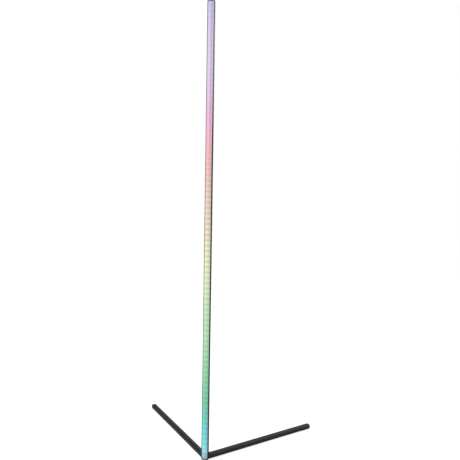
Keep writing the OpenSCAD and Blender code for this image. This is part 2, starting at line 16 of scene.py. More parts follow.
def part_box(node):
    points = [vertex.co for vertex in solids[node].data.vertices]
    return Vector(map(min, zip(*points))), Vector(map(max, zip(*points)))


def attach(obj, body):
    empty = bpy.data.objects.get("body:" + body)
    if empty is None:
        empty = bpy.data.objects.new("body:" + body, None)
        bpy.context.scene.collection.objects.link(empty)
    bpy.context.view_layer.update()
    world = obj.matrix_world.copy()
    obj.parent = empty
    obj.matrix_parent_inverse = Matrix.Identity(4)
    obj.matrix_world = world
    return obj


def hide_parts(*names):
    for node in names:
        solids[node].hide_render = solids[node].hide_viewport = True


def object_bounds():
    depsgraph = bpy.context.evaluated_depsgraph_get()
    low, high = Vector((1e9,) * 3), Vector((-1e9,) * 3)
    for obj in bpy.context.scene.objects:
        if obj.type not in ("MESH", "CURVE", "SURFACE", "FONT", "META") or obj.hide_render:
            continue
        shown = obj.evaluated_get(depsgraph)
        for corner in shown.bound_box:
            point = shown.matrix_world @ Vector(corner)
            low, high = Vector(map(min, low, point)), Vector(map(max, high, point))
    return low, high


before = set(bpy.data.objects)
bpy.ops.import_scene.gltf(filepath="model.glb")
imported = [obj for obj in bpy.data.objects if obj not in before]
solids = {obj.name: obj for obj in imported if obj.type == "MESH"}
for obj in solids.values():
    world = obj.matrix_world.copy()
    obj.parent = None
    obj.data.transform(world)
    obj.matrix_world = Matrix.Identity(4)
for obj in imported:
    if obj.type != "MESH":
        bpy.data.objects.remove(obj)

cad_box = [list(corner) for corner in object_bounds()]
print(f"{len(solids)} solids in a box from {cad_box[0]} to {cad_box[1]}")

# %% [markdown]
# ## The camera
# The photograph was taken from a little to the right, at three fifths of the lamp's height, and
# from so near that the legs run steeply away. The view is fixed by where one known point of the
# pole lies in the picture, by how far off it is and by the focal length. A lens shift would slide
# the picture the same way, but moving the camera sideways keeps the shift at zero, and then every
# other view of the lamp stays centred.

# %% Camera
PHOTO_SIDE = 460                    # pixels along each side of the photograph
SENSOR = 36                         # width of the camera's sensor in millimetres
FOCAL = 493.25                      # focal length, in pixels of the photograph
AIM = Vector((0, 0, 0.71))          # half way up the pole
AIM_PIXEL = (208.147, 238.414)      # where that point lies in the photograph
AIM_DEPTH = 1.52233                 # its distance from the lens, measured along the view
TURN, RISE, ROLL = (math.radians(angle) for angle in (13.772, 4.534, 1.021))


def link(thing):
    """Puts an object in the scene and returns it."""
    bpy.context.scene.collection.objects.link(thing)
    return thing


def view_axes(turn, rise, roll):
    """The right, up and back directions of a camera that looks at the lamp's front."""
    back = Vector((math.sin(turn) * math.cos(rise), -math.cos(turn) * math.cos(rise), math.sin(rise)))
    level = Vector((0, 0, 1)).cross(back).normalized()
    upright = back.cross(level)
    right = math.cos(roll) * level + math.sin(roll) * upright
    up = math.cos(roll) * upright - math.sin(roll) * level
    return right, up, back


right, up, back = view_axes(TURN, RISE, ROLL)
across, down = ((AIM_PIXEL[i] - PHOTO_SIDE / 2) * AIM_DEPTH / FOCAL for i in (0, 1))
lens_place = AIM + back * AIM_DEPTH - right * across + up * down
camera = link(bpy.data.objects.new("camera", bpy.data.cameras.new("camera")))
camera.data.sensor_width = SENSOR
camera.data.lens = FOCAL / PHOTO_SIDE * SENSOR
camera.data.clip_start = 0.01
camera.matrix_world = Matrix.Translation(lens_place) @ Matrix((right, up, back)).transposed().to_4x4()
bpy.context.scene.camera = camera
print(f"camera at {[round(c, 3) for c in lens_place]}, lens {camera.data.lens:.1f} mm")

# %% [markdown]
# ## A helper for node trees
# Materials, the world and Geometry Nodes are all trees of nodes. One small function adds a node,
# sets its properties, and fills or links its inputs, so that the cells below say what a tree is
# for and not how its sockets are reached.

# %% Add a node
def put(tree, kind, *inputs, named=None, **settings):
    """Adds a node. An input is given by position or by name, as a value or as a socket to link."""
    node = tree.nodes.new(kind)
    for key, setting in settings.items():
        setattr(node, key, setting)
    for key, source in [*enumerate(inputs), *(named or {}).items()]:
        if isinstance(source, bpy.types.NodeSocket):
            tree.links.new(source, node.inputs[key])
        elif source is not None:
            node.inputs[key].default_value = source
    return node


def out(tree, kind, *inputs, **more):
    """Adds a node in the same way and gives back its first output."""
    return put(tree, kind, *inputs, **more).outputs[0]


def maths(tree, operation, *inputs):
    return out(tree, "ShaderNodeMath", *inputs, operation=operation)


print("helpers: put adds a node, out gives its first output, maths adds a sum")

# %% [markdown]
# ## White world and pale floor
# The photograph's ground is plain white. Turning the lamps up until a grey world burns out would
# also wash out the black legs, so the white is shown only to rays that see it directly: from the
# camera, in a reflection, or through something clear. Rays that carry light get a dimmer, plain
# room. The floor does the same, but keeps a part of its light from the lamps, so that the lamp's
# soft shadow still lies on it.

# %% World and floor
ROOM_LIGHT = 0.42                   # strength of the even light from all round
FLOOR_GLOW = 0.83                   # white that the floor shows without any lamp
FLOOR_LIT = (0.42, 0.42, 0.42, 1)   # its part that the lamps light and shade
FLOOR_BOUNCE = (0.8, 0.8, 0.8, 1)   # what it throws back on the lamp
FLOOR_HALF = 7.0                    # metres from the lamp to the edge of the floor
FLOOR_DROP = 0.0001                 # keeps the floor just clear of the pads' undersides


def new_mesh(name, points, faces=()):
    mesh = bpy.data.meshes.new(name)
    mesh.from_pydata(points, [], faces)
    return mesh


def seen_directly(tree):
    """1 on rays that see a surface or mirror it, 0 on rays that carry its light elsewhere."""
    path = put(tree, "ShaderNodeLightPath").outputs
    mirrored = maths(tree, "MAXIMUM", path["Is Glossy Ray"], path["Is Transmission Ray"])
    return maths(tree, "MAXIMUM", path["Is Camera Ray"], mirrored)


def white_world():
    world = bpy.data.worlds.new("studio")
    world.use_nodes = True
    tree = world.node_tree
    tree.nodes.clear()
    strength = maths(tree, "MULTIPLY_ADD", seen_directly(tree), 1 - ROOM_LIGHT, ROOM_LIGHT)
    background = put(tree, "ShaderNodeBackground", (1, 1, 1, 1), strength)
    put(tree, "ShaderNodeOutputWorld", background.outputs[0])
    return world


def pale_floor():
    material = bpy.data.materials.new("studio_floor")
    material.use_nodes = True
    tree = material.node_tree
    tree.nodes.clear()
    bounce = out(tree, "ShaderNodeBsdfDiffuse", FLOOR_BOUNCE)
    lit = out(tree, "ShaderNodeBsdfDiffuse", FLOOR_LIT)
    glow = out(tree, "ShaderNodeEmission", (1, 1, 1, 1), FLOOR_GLOW)
    shown = out(tree, "ShaderNodeAddShader", lit, glow)
    surface = out(tree, "ShaderNodeMixShader", seen_directly(tree), bounce, shown)
    put(tree, "ShaderNodeOutputMaterial", surface)
    return material


bpy.context.scene.world = white_world()
bpy.context.scene.view_settings.view_transform = "Standard"
corners = ((-1, -1), (1, -1), (1, 1), (-1, 1))
floor_mesh = new_mesh("floor", [(x * FLOOR_HALF, y * FLOOR_HALF, -FLOOR_DROP) for x, y in corners],
                      [(0, 1, 2, 3)])
floor_mesh.materials.append(pale_floor())
floor = link(bpy.data.objects.new("floor", floor_mesh))
print(f"floor {2 * FLOOR_HALF:.0f} m square, even light {ROOM_LIGHT}")

# %% [markdown]
# ## Three softboxes
# The left leg's side is a little lighter than the right leg's, so the main light stands on the
# left. Area lamps as large as a window give the soft edges of a studio. A weaker one on the right
# keeps that side from going flat black, and one behind lights the back for the other views.

# %% Softboxes
def softbox(name, place, side, watts):
    """A square area lamp that looks at the middle of the lamp's pole."""
    data = bpy.data.lights.new(name, "AREA")
    data.shape = "SQUARE"
    data.size = side
    data.energy = watts
    lamp = link(bpy.data.objects.new(name, data))
    away = Vector(place) - AIM
    lamp.matrix_world = Matrix.Translation(place) @ away.to_track_quat("Z", "Y").to_matrix().to_4x4()
    lamp.visible_camera = False
    return lamp


softboxes = [
    softbox("key_left", (-2.1, -1.5, 1.8), 1.6, 42),
    softbox("fill_right", (2.3, -1.2, 1.5), 1.4, 4),
    softbox("rear", (0.5, 2.4, 2.4), 1.8, 30),
]
print("softboxes:", ", ".join(f"{lamp.name} {lamp.data.energy:.0f} W" for lamp in softboxes))

# %% [markdown]
# ## Finishes: the tools
# No finish on the lamp is one flat colour. Powder coat has a fine orange peel, an extrusion has
# lines along its length, a moulding has a spark-eroded grain. Image textures could show these, but
# noise on Object coordinates needs no unwrapping, holds its real size in metres on every piece and
# stays where it is when the piece moves. The helpers make such a grain and let it move a colour, a
# roughness or the surface itself.

# %% Tools for finishes
NOISE_LOW, NOISE_HIGH = 0.32, 0.68          # nearly all of a noise's values lie between these


def new_finish(name, colour, roughness, metallic=0.0, specular=0.5):
    """A material with one Principled shader; gives back the material and its tree and shader."""
    material = bpy.data.materials.new(name)
    material.use_nodes = True
    material.diffuse_color = (*colour, 1)
    shader = material.node_tree.nodes["Principled BSDF"]
    for socket, level in (("Base Color", (*colour, 1)), ("Roughness", roughness),
                          ("Metallic", metallic), ("Specular IOR Level", specular)):
        shader.inputs[socket].default_value = level
    return material, material.node_tree, shader


def object_place(tree, scale=(1, 1, 1), turn=(0, 0, 0)):
    """The point of the surface in the lamp's own metres, scaled along each axis and turned."""
    place = put(tree, "ShaderNodeTexCoord").outputs["Object"]
    return out(tree, "ShaderNodeMapping", place, named={"Rotation": turn, "Scale": scale})


def object_xyz(tree):
    return put(tree, "ShaderNodeSeparateXYZ", object_place(tree)).outputs


def grain(tree, size, stretch=(1, 1, 1), detail=3.0):
    """Noise with bumps of a real size in metres, longer along the axes that are stretched."""
    place = object_place(tree, [1 / (size * longer) for longer in stretch])
    return put(tree, "ShaderNodeTexNoise", place, named={"Scale": 1.0, "Detail": detail}).outputs["Fac"]


def fade(tree, amount, start, end, first=1.0, last=0.0):
    """Runs from the first value to the last while the amount runs from start to end."""
    return out(tree, "ShaderNodeMapRange", amount, start, end, first, last)


def between(tree, amount, low, high):
    """Stretches a texture's usual values over a range."""
    return fade(tree, amount, NOISE_LOW, NOISE_HIGH, low, high)


def mix_colours(tree, amount, *colours):
    """Mixes two colours, each given as three numbers or as a socket."""
    ends = [colour if isinstance(colour, bpy.types.NodeSocket) else (*colour, 1) for colour in colours]
    return put(tree, "ShaderNodeMix", amount, named={6: ends[0], 7: ends[1]}, data_type="RGBA").outputs[2]


def vary_colour(tree, shader, amount, first, second):
    spread = between(tree, amount, 0, 1)
    tree.links.new(mix_colours(tree, spread, first, second), shader.inputs["Base Color"])


def overlay(tree, shader, amount, colour):
    """Lays a colour over what the Base Color already shows, by an amount from 0 to 1."""
    below = shader.inputs["Base Color"].links[0].from_socket
    tree.links.new(mix_colours(tree, amount, below, colour), shader.inputs["Base Color"])


def vary_roughness(tree, shader, amount, low, high):
    tree.links.new(between(tree, amount, low, high), shader.inputs["Roughness"])


def raise_skin(tree, shader, height, depth, strength=1.0):
    """Bumps the surface by a height from 0 to 1 times a depth in metres."""
    bump = put(tree, "ShaderNodeBump", named={"Strength": strength, "Distance": depth, "Height": height})
    tree.links.new(bump.outputs[0], shader.inputs["Normal"])


print("tools for finishes: grain, vary_colour, vary_roughness, raise_skin")

# %% [markdown]
# ## Metal finishes
# The legs are steel tubes with a matt black powder coat, and the corner between them is a casting
# with the same coat, a little coarser. The pole is an aluminium extrusion, anodised black: it is
# smoother, and the die leaves faint lines along its length. The screws are blackened steel, and
# the inlet's contacts are plated brass.

# %% Metal finishes
def powder_coat(name, dark, light, peel, specular=0.15):
    """Matt coat whose orange peel has waves of a given size in metres."""
    material, tree, shader = new_finish(name, light, 0.55, specular=specular)
    vary_colour(tree, shader, grain(tree, 0.012, detail=6), dark, light)
    vary_roughness(tree, shader, grain(tree, 0.03), 0.48, 0.62)
    raise_skin(tree, shader, grain(tree, peel, detail=2), 0.03 * peel, 0.6)
    return material


# The pole's right side is painted greyer high up: a painted reflection of lighter surroundings.
REFLECTION_RISE = (1.05, 1.32)            # heights between which the painted reflection turns the pole's right side greyer
REFLECTION_SKIN = (0.0004, 0.0001)        # metres in from that side where the painted reflection begins and is full
WALL_REFLECTION_GREY = (0.20, 0.20, 0.21)


def anodised_extrusion():
    material, tree, shader = new_finish("anodised_black", (0.014, 0.014, 0.017), 0.45, specular=0.015)
    die_lines = grain(tree, 0.0003, stretch=(1, 1, 600), detail=2)
    vary_colour(tree, shader, grain(tree, 0.002, stretch=(1, 1, 40)),
                (0.011, 0.011, 0.013), (0.018, 0.018, 0.021))
    vary_roughness(tree, shader, die_lines, 0.34, 0.46)
    raise_skin(tree, shader, die_lines, 0.000004, 0.7)
    # painted reflection: the upper part of the right side wall is painted grey
    x, _, z = object_xyz(tree)
    right_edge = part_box("pole_channel")[1].x
    on_wall = fade(tree, x, *(right_edge - depth for depth in REFLECTION_SKIN), 0.0, 1.0)
    high_up = fade(tree, z, *REFLECTION_RISE, 0.0, 1.0)
    overlay(tree, shader, maths(tree, "MULTIPLY", on_wall, high_up), WALL_REFLECTION_GREY)
    return material


def blackened_steel():
    material, tree, shader = new_finish("blackened_steel", (0.05, 0.05, 0.055), 0.4, metallic=0.9)
    vary_colour(tree, shader, grain(tree, 0.0006, detail=5), (0.03, 0.03, 0.034), (0.07, 0.068, 0.07))
    vary_roughness(tree, shader, grain(tree, 0.0004), 0.3, 0.5)
    raise_skin(tree, shader, grain(tree, 0.0002), 0.000004)
    return material


def plated_brass():
    material, tree, shader = new_finish("plated_brass", (0.78, 0.63, 0.32), 0.25, metallic=1.0)
    turned = grain(tree, 0.0003, stretch=(40, 1, 40))
    vary_colour(tree, shader, grain(tree, 0.001), (0.72, 0.55, 0.26), (0.82, 0.68, 0.38))
    vary_roughness(tree, shader, turned, 0.18, 0.34)
    raise_skin(tree, shader, turned, 0.000003)
    return material


casting_coat = powder_coat("casting_powder_coat", (0.011, 0.011, 0.0115), (0.018, 0.018, 0.0185), 0.0014)
pole_finish = anodised_extrusion()
screw_finish = blackened_steel()
brass = plated_brass()
print("metal finishes:", casting_coat.name, pole_finish.name, screw_finish.name, brass.name)

# %% [markdown]
# ## The legs' coat
# Each leg's coat has painted marks along two long edges. The left leg has a dark line where its top
# meets its outer side, and its lowest edge is a shade darker too: both are painted shade. A bevel
# alone would give a light line there. On the right leg the upper line is a painted highlight, and
# the lowest edge is an even painted band a little lighter than the coat. The coat is therefore
# told how far each point lies from the edge: one distance counts inwards from the leg's outer face,
# the other counts down from its top, and the larger of the two is the distance wanted.
# The same depth keeps the turquoise light that the pole throws on a leg's root off the leg's back.

# %% The legs' coat
LEG_DARK, LEG_LIGHT = (0.038, 0.037, 0.038), (0.054, 0.052, 0.053)
PAINTED_LINE_WIDTH = 0.0026                 # of the painted line along the upper edge, in metres: shade on the left leg, a highlight on the right
PAINTED_BAND_WIDTH = 0.0016                # of the painted band along the lowest edge, shade on the left leg
LINE_FADE = (0.7, 1.2)              # where a line's fade begins and ends, in its own widths
FOOT_SPILL = (0.012, 0.062, 0.072)  # the pole's turquoise light on the coat
SPILL_DEPTH = (0.009, 0.0145)       # metres in from the outer face, from all of that light to none
SPILL_RISE = (0.0002, 0.0008)       # metres above the underside, from none of it to all
LEFT_SPILL = (1.0, 0.006, 0.020)    # its strength, and metres from the root to where it falls and ends
RIGHT_SPILL = (0.5, 0.0, 0.006)


def leg_root(leg):
    """How far from the lamp's middle plane a leg begins."""
    low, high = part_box(leg)
    return min(abs(low.x), abs(high.x))


def depth_inwards(tree, leg):
    """Metres in from a leg's outer face."""
    point_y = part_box(leg)[0].y - leg_root(leg)          # where the two legs' outer faces would meet
    x, y, _ = object_xyz(tree)
    out_there = maths(tree, "ADD", maths(tree, "ABSOLUTE", x), point_y)
    return maths(tree, "MULTIPLY", maths(tree, "SUBTRACT", y, out_there), math.sqrt(0.5))


def edge_distance(tree, leg, upper):
    """Metres from a leg's upper or lower outer edge, over the two faces that meet there."""
    low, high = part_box(leg)
    z = object_xyz(tree)[2]
    height = maths(tree, "SUBTRACT", high.z, z) if upper else maths(tree, "SUBTRACT", z, low.z)
    return maths(tree, "MAXIMUM", depth_inwards(tree, leg), height)


def light_spill(tree, leg, share, full, reach):
    """How much of the pole's light lies on a leg: none on its back, on its underside or far out."""
    x, _, z = object_xyz(tree)
    outwards = maths(tree, "SUBTRACT", maths(tree, "ABSOLUTE", x), leg_root(leg))
    near = maths(tree, "POWER", fade(tree, outwards, full, reach, share ** 0.5), 2.0)
    outer = fade(tree, depth_inwards(tree, leg), *SPILL_DEPTH)
    above = fade(tree, maths(tree, "SUBTRACT", z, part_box(leg)[0].z), *SPILL_RISE, 0.0, 1.0)
    return maths(tree, "MULTIPLY", near, maths(tree, "MULTIPLY", outer, above))


def leg_finish(leg, painted_line_colour, painted_band_colour, spill):
    material = powder_coat(leg + "_coat", LEG_DARK, LEG_LIGHT, 0.0009, specular=0.04)
    tree = material.node_tree
    shader = tree.nodes["Principled BSDF"]
    # paints a line along the upper edge and a band along the lowest edge, in the given colours of light
    # and shade
    for upper, width, colour in ((True, PAINTED_LINE_WIDTH, painted_line_colour), (False, PAINTED_BAND_WIDTH, painted_band_colour)):
        distance = edge_distance(tree, leg, upper)
        overlay(tree, shader, fade(tree, distance, *(share * width for share in LINE_FADE)), colour)
    overlay(tree, shader, light_spill(tree, leg, *spill), FOOT_SPILL)
    return material


# left leg: painted shade on both edges; right leg: a painted highlight above and a light even band below
left_coat = leg_finish("left_leg", (0.002,) * 3, (0.032, 0.031, 0.032), LEFT_SPILL)
right_coat = leg_finish("right_leg", (0.065, 0.063, 0.064), (0.052, 0.05, 0.051), RIGHT_SPILL)
print("coats of the legs:", left_coat.name, right_coat.name)

# %% [markdown]
# ## Plastic and rubber finishes
# The cap and the end plugs are black mouldings with a fine spark-eroded grain. The inlet is
# polished, the button is satin, and the pads are matt foam rubber with open pores. Inside the
# pole, wire insulation is smooth and a little waxy, chip packages are dull, and tape and foam are
# pale and soft.

# %% Plastic and rubber finishes
def moulding(name, dark, light, roughness, skin=0.00025, depth=0.00001):
    """Moulded plastic with a fine grain and a slow change of gloss."""
    material, tree, shader = new_finish(name, light, roughness, specular=0.4)
    vary_colour(tree, shader, grain(tree, 0.004, detail=4), dark, light)
    vary_roughness(tree, shader, grain(tree, 0.006), roughness - 0.06, roughness + 0.06)
    raise_skin(tree, shader, grain(tree, skin), depth, 0.8)
    return material


PORE_RIM = (0.15, 0.6)              # where a pore's wall begins and ends, in cells from its middle
SMOOTH = 0.000002                   # depth of the grain on smooth plastic


def pored(name, dark, light, pore):
    """Foam or rubber: round pores of a given size, with painted shade at their bottoms."""
    material, tree, shader = new_finish(name, light, 0.9, specular=0.3)
    cells = put(tree, "ShaderNodeTexVoronoi", object_place(tree, [1 / pore] * 3), named={"Scale": 1.0})
    wall_and_shade = fade(tree, cells.outputs["Distance"], *PORE_RIM, 0.0, 1.0)
    # painted shade: each pore is dark in its middle and light on its rim
    tree.links.new(mix_colours(tree, wall_and_shade, dark, light), shader.inputs["Base Color"])
    vary_roughness(tree, shader, grain(tree, 2 * pore), 0.82, 0.96)
    raise_skin(tree, shader, wall_and_shade, 0.15 * pore, 0.7)
    return material


black_moulding = moulding("black_moulding", (0.011, 0.011, 0.012), (0.019, 0.019, 0.021), 0.5)
inlet_moulding = moulding("polished_inlet", (0.012,) * 3, (0.018,) * 3, 0.2, depth=SMOOTH)
button_moulding = moulding("satin_button", (0.10, 0.10, 0.105), (0.13, 0.13, 0.135), 0.4, depth=0.000004)
plunger_moulding = moulding("plunger_moulding", (0.70, 0.62, 0.44), (0.78, 0.71, 0.54), 0.45)
chip_moulding = moulding("chip_package", (0.022, 0.022, 0.023), (0.036, 0.036, 0.038), 0.6, skin=0.00012)
red_insulation = moulding("red_insulation", (0.45, 0.03, 0.02), (0.58, 0.05, 0.035), 0.36, depth=SMOOTH)
white_insulation = moulding("white_insulation", (0.74, 0.73, 0.70), (0.84, 0.84, 0.82), 0.36, depth=SMOOTH)
pad_rubber = pored("pad_rubber", (0.008,) * 3, (0.022,) * 3, 0.0005)
foam_tape = pored("foam_tape", (0.55, 0.53, 0.48), (0.82, 0.80, 0.74), 0.0004)
print("plastic finishes: 7 mouldings, 2 pored materials")

# %% [markdown]
# ## The circuit finishes
# The controller's board is covered with green mask over copper tracks, which show as slightly
# raised, lighter lines. The strip is a white film. A brick pattern laid along the board gives the
# tracks without drawing each one, because its mortar lines run and turn as tracks do.

# %% Circuit finishes
TRACK_LENGTH = 0.0035               # of a copper track before it turns, in metres
TRACK_PITCH = 0.0007                # from one track to the next
TRACK_GAP = 0.22 * TRACK_PITCH


def solder_mask():
    material, tree, shader = new_finish("solder_mask", (0.02, 0.16, 0.07), 0.3)
    along = object_place(tree, turn=(math.pi / 2, 0, 0))
    tracks = put(tree, "ShaderNodeTexBrick", along, (1, 1, 1, 1), (1, 1, 1, 1), (0, 0, 0, 1), named={
        "Scale": 1.0, "Mortar Size": TRACK_GAP, "Brick Width": TRACK_LENGTH, "Row Height": TRACK_PITCH})
    copper = maths(tree, "SUBTRACT", 1.0, tracks.outputs["Fac"])
    green = mix_colours(tree, copper, (0.012, 0.10, 0.045), (0.03, 0.22, 0.10))
    tree.links.new(green, shader.inputs["Base Color"])
    vary_roughness(tree, shader, grain(tree, 0.002), 0.24, 0.38)
    raise_skin(tree, shader, copper, 0.00003)
    return material


def white_film():
    material, tree, shader = new_finish("strip_film", (0.85, 0.85, 0.82), 0.4)
    weave = grain(tree, 0.002, stretch=(1, 1, 5))
    vary_colour(tree, shader, weave, (0.80, 0.80, 0.77), (0.88, 0.88, 0.86))
    vary_roughness(tree, shader, grain(tree, 0.0008), 0.32, 0.46)
    raise_skin(tree, shader, grain(tree, 0.0015, stretch=(1, 1, 4)), 0.00002)
    return material


def tinned_solder():
    material, tree, shader = new_finish("tinned_solder", (0.75, 0.75, 0.74), 0.3, metallic=1.0)
    vary_colour(tree, shader, grain(tree, 0.0005), (0.55, 0.55, 0.55), (0.75, 0.75, 0.74))
    vary_roughness(tree, shader, grain(tree, 0.0003), 0.2, 0.42)
    return material


mask_finish = solder_mask()
film_finish = white_film()
solder_finish = tinned_solder()
print("circuit finishes:", mask_finish.name, film_finish.name, solder_finish.name)

# %% [markdown]
# ## The light: a running rainbow
# The controller drives each light package on its own and turns the colour wheel evenly along the
# strip, from turquoise at the foot over green, yellow and pink to lavender at the top. Near the
# top the colours are paler. One ramp holds this programme: each stop's red, green and blue stand
# for the turn of the wheel, the strength of the colour and the brightness. Taking them apart and
# joining them again as hue, saturation and value costs two nodes, and the hues between two stops
# come out as hues and not as muddy mixtures.

# %% The rainbow
WHEEL_START = 0.3                   # added to each turn, so that the ramp holds no value below 0
LIGHT_PROGRAMME = [                 # height in metres, turn of the wheel, strength, brightness
    (0.010, 0.550, 0.13, 0.70),     # below the strip the face is nearly unlit
    (0.019, 0.530, 0.25, 0.82),
    (0.030, 0.520, 0.36, 0.915),
    (0.060, 0.517, 0.435, 0.89),    # turquoise
    (0.110, 0.500, 0.45, 0.82),
    (0.165, 0.452, 0.43, 0.79),
    (0.200, 0.420, 0.39, 0.79),
    (0.400, 0.345, 0.19, 0.867),    # green
    (0.600, 0.210, 0.17, 0.905),
    (0.800, 0.085, 0.17, 0.885),    # sand
    (0.980, -0.020, 0.235, 0.935),  # pink
    (1.045, -0.092, 0.25, 0.935),
    (1.100, -0.116, 0.18, 0.885),
    (1.170, -0.190, 0.123, 0.868),
    (1.250, -0.240, 0.122, 0.894),
    (1.340, -0.264, 0.138, 0.89),
    (1.410, -0.298, 0.148, 0.88),   # lavender
]
DISPLAY_GAMMA = 2.2


def ramp(tree, amount, stops, interpolation="LINEAR"):
    """A colour ramp; each stop is a position and a colour or a grey."""
    node = put(tree, "ShaderNodeValToRGB", amount)
    node.color_ramp.interpolation = interpolation
    for spare in list(node.color_ramp.elements)[1:]:
        node.color_ramp.elements.remove(spare)
    for i, (position, colour) in enumerate(stops):
        point = node.color_ramp.elements[0] if i == 0 else node.color_ramp.elements.new(position)
        point.position = position
        point.color = (*colour, 1) if isinstance(colour, tuple) else (colour, colour, colour, 1)
    return node.outputs[0]


def rainbow(tree, height, brighter=None):
    """The programme's colour at a height, times a factor for its brightness."""
    top = cad_box[1][2]
    share = maths(tree, "DIVIDE", height, top)
    stops = [(z / top, (turn + WHEEL_START, strength, bright))
             for z, turn, strength, bright in LIGHT_PROGRAMME]
    parts = put(tree, "ShaderNodeSeparateColor", ramp(tree, share, stops)).outputs
    wheel = maths(tree, "FRACT", maths(tree, "SUBTRACT", parts[0], WHEEL_START))
    bright = parts[2] if brighter is None else maths(tree, "MULTIPLY", parts[2], brighter)
    colour = out(tree, "ShaderNodeCombineColor", wheel, parts[1], bright, mode="HSV")
    return out(tree, "ShaderNodeGamma", colour, DISPLAY_GAMMA)


print(f"light programme with {len(LIGHT_PROGRAMME)} stops")

# %% [markdown]
# ## The opal face
# The face is milky acrylic. Seen from the front it isn't even: each package makes a brighter band,
# the dips between them are deepest a little right of the middle, and the left third is lighter.
# Near the top the bands fade out and a lengthwise step takes their place. Real light through a
# translucent shell would show this too, but slowly and with noise, and an exported model would
# lose it. So the glow is painted on the surface by height and by place across the face, half as
# light of its own and half as painted light in the plastic's base colour, so that it also looks
# right in other light.

# %% The opal face's finish
FACE_GLOW = 0.60                    # share of the colour that is light of its own
FACE_PAINTED_TINT = 0.42                    # share of the glow's colour painted into the plastic's base colour as painted light
LED_PITCH = 1 / 60                  # metres between packages
PACKAGE_SIDE = 0.005
face_low, face_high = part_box("diffuser")
first_package_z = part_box("led_packages")[0].z + PACKAGE_SIDE / 2
UPPER_PART = (0.65, 0.74)           # shares of the height between which the upper steps take over
BAND_WEIGHT = [(0.0, 0.6), (0.3, 0.85), (0.6, 1.0), (1.0, 0.8)]
BAND_DEPTH = [(0.02, 0.035), (0.35, 0.055), (0.50, 0.070), (0.62, 0.050), (0.70, 0.014)]
LOW_STEPS = [(0.0, 0.50), (0.25, 0.53), (0.5, 0.505), (0.75, 0.48), (1.0, 0.46)]
HIGH_STEPS = [(0.0, 0.505), (0.2, 0.52), (0.38, 0.545), (0.5, 0.50), (0.6, 0.462), (0.7, 0.462),
              (0.82, 0.49), (0.93, 0.53), (1.0, 0.535)]


def opal_face():
    material, tree, shader = new_finish("opal_diffuser", (0.8,) * 3, 0.35, specular=0.25)
    x, _, z = object_xyz(tree)
    height = maths(tree, "DIVIDE", z, cad_box[1][2])
    side = fade(tree, x, face_low.x, face_high.x, 0.0, 1.0)
    # bands: one cosine wave for each package, deepest right of the middle
    turns = maths(tree, "DIVIDE", maths(tree, "SUBTRACT", z, first_package_z), LED_PITCH)
    wave = maths(tree, "COSINE", maths(tree, "MULTIPLY", turns, 2 * math.pi))
    weight = ramp(tree, side, BAND_WEIGHT, "EASE")
    band = maths(tree, "MULTIPLY", maths(tree, "MULTIPLY", wave, weight), ramp(tree, height, BAND_DEPTH))
    # steps across the face, one set below and one near the top
    upper = fade(tree, height, *UPPER_PART, 0.0, 1.0)
    steps = out(tree, "ShaderNodeMix", upper, named={
        2: ramp(tree, side, LOW_STEPS, "EASE"), 3: ramp(tree, side, HIGH_STEPS, "EASE")})
    # a step of 0.5 is the programme's own brightness
    level = maths(tree, "MULTIPLY", steps, maths(tree, "MULTIPLY_ADD", band, 2.0, 2.0))
    glow = rainbow(tree, z, level)
    tree.links.new(glow, shader.inputs["Emission Color"])
    shader.inputs["Emission Strength"].default_value = FACE_GLOW
    # painted light: the plastic's base colour takes the glow's colour
    tree.links.new(mix_colours(tree, FACE_PAINTED_TINT, (0, 0, 0), glow), shader.inputs["Base Color"])
    vary_roughness(tree, shader, grain(tree, 0.01, stretch=(1, 1, 10)), 0.3, 0.42)
    raise_skin(tree, shader, grain(tree, 0.0006), 0.000004, 0.5)
    return material


opal_finish = opal_face()
print(f"opal face {face_high.z - face_low.z:.4f} m high, first package at {first_package_z:.4f} m")

# %% [markdown]
# ## Geometry Nodes: the tools
# What repeats or follows a rule is made by Geometry Nodes. A tree is built once, with a named
# input for each size, and an object runs it as a modifier. The modifier's inputs are set before
# the object is evaluated for the first time. What comes out is copied into a plain mesh, because
# an exported model can't hold instances, and the object with the modifier is thrown away.

# %% Tools for Geometry Nodes
SHARP_ANGLE = math.radians(30)
NO_LENGTH = 0.000001                # points nearer than this, in metres, count as one


def new_tree(name, **sizes):
    """An empty tree with a geometry input and output and one named input for each size."""
    tree = bpy.data.node_groups.new(name, "GeometryNodeTree")
    tree.interface.new_socket("Geometry", in_out="OUTPUT", socket_type="NodeSocketGeometry")
    tree.interface.new_socket("Geometry", in_out="INPUT", socket_type="NodeSocketGeometry")
    for label, kind in sizes.items():
        tree.interface.new_socket(label, in_out="INPUT", socket_type="NodeSocket" + kind)
    return tree, put(tree, "NodeGroupInput").outputs, put(tree, "NodeGroupOutput").inputs[0]


def join(tree, *meshes):
    joined = put(tree, "GeometryNodeJoinGeometry")
    for mesh in meshes:
        tree.links.new(mesh, joined.inputs[0])
    return joined.outputs[0]


def moved(tree, mesh, **way):
    """Moves, turns or scales a mesh, by the Transform node's own input names."""
    return out(tree, "GeometryNodeTransform", mesh, named=way)


def upward(tree, length):
    """A vector of this length along Z."""
    return out(tree, "ShaderNodeCombineXYZ", 0.0, 0.0, length)


def crisp(tree, mesh):
    """Smooth faces that meet at sharp edges."""
    smooth = out(tree, "GeometryNodeSetShadeSmooth", mesh, None, True, domain="FACE")
    angle = out(tree, "GeometryNodeInputMeshEdgeAngle")
    sharp = out(tree, "FunctionNodeCompare", angle, SHARP_ANGLE, data_type="FLOAT",
                operation="GREATER_THAN")
    return out(tree, "GeometryNodeSetShadeSmooth", smooth, sharp, False, domain="EDGE")


